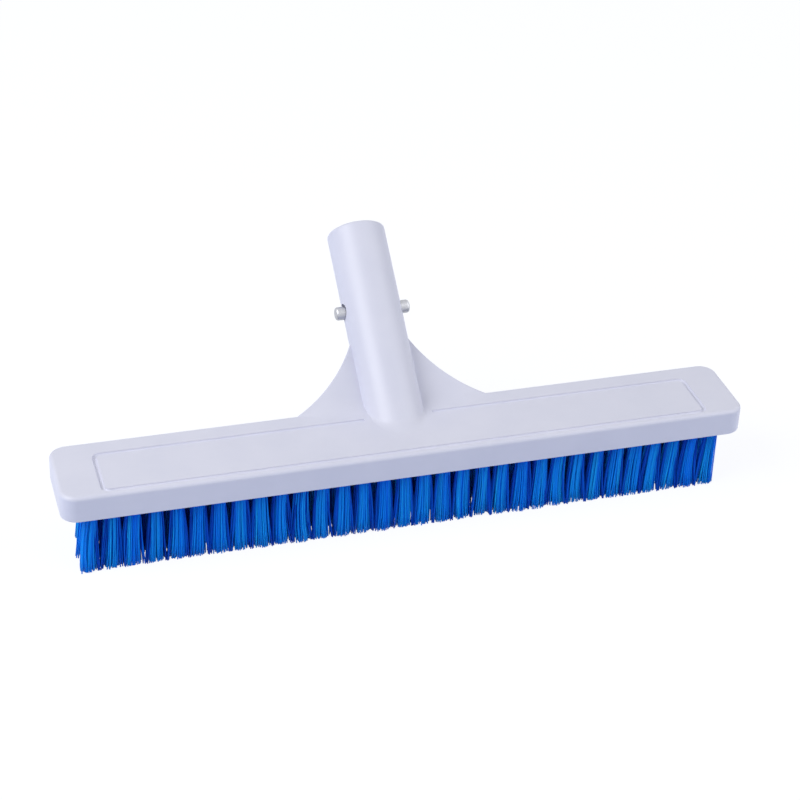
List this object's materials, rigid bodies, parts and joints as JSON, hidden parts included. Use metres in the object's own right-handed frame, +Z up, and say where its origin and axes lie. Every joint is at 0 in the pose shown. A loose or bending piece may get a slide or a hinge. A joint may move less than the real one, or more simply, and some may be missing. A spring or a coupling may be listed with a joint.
{
  "type": "pool brush",
  "caption": "Flat white moulded brush head with a raked pole socket, two snap buttons on a spring clip, curved gussets and columns of blue bristle tufts.",
  "frame": {"origin": "on the floor under the middle of the whole brush, socket included, with the bristle tips at Z = 0", "axes": "+X along the head, +Y back towards the mouth of the socket, +Z up"},
  "size_m": [0.335, 0.126, 0.1111],
  "materials": {
    "white_moulding": "smooth satin white injection moulding",
    "spring_steel": null,
    "button_steel": "grey metal with a soft gloss",
    "blue_bristle": "blue nylon filament with a soft sheen"
  },
  "bodies": {
    "head": {"head_moulding": "white_moulding", "clip_bow": "spring_steel", "tuft_column_01": "blue_bristle", "tuft_column_02": "blue_bristle", "tuft_column_03": "blue_bristle", "tuft_column_04": "blue_bristle", "tuft_column_05": "blue_bristle", "tuft_column_06": "blue_bristle", "tuft_column_07": "blue_bristle", "tuft_column_08": "blue_bristle", "tuft_column_09": "blue_bristle", "tuft_column_10": "blue_bristle", "tuft_column_11": "blue_bristle", "tuft_column_12": "blue_bristle", "tuft_column_13": "blue_bristle", "tuft_column_14": "blue_bristle", "tuft_column_15": "blue_bristle", "tuft_column_16": "blue_bristle", "tuft_column_17": "blue_bristle", "tuft_column_18": "blue_bristle", "tuft_column_19": "blue_bristle", "tuft_column_20": "blue_bristle", "tuft_column_21": "blue_bristle", "tuft_column_22": "blue_bristle", "tuft_column_23": "blue_bristle", "tuft_column_24": "blue_bristle", "tuft_column_25": "blue_bristle", "tuft_column_26": "blue_bristle", "tuft_column_27": "blue_bristle", "tuft_column_28": "blue_bristle", "tuft_column_29": "blue_bristle", "tuft_column_30": "blue_bristle", "tuft_column_31": "blue_bristle", "tuft_column_32": "blue_bristle"},
    "left_leg": {"clip_leg_left": "spring_steel", "clip_button_left": "button_steel"},
    "right_leg": {"clip_leg_right": "spring_steel", "clip_button_right": "button_steel"}
  },
  "joints": [
    {"name": "left_button_press", "type": "hinge", "parent": "head", "child": "left_leg", "pos_m": [-0.01057, -0.00432, 0.05416], "axis": [0, 0.6157, -0.788], "range_deg": [0, 7.6], "stiffness_Nm_per_rad": 0.6, "springref_deg": -11.46},
    {"name": "right_button_press", "type": "hinge", "parent": "head", "child": "right_leg", "pos_m": [0.01057, -0.00432, 0.05416], "axis": [0, -0.6157, 0.788], "range_deg": [0, 7.6], "stiffness_Nm_per_rad": 0.6, "springref_deg": -11.46}
  ]
}
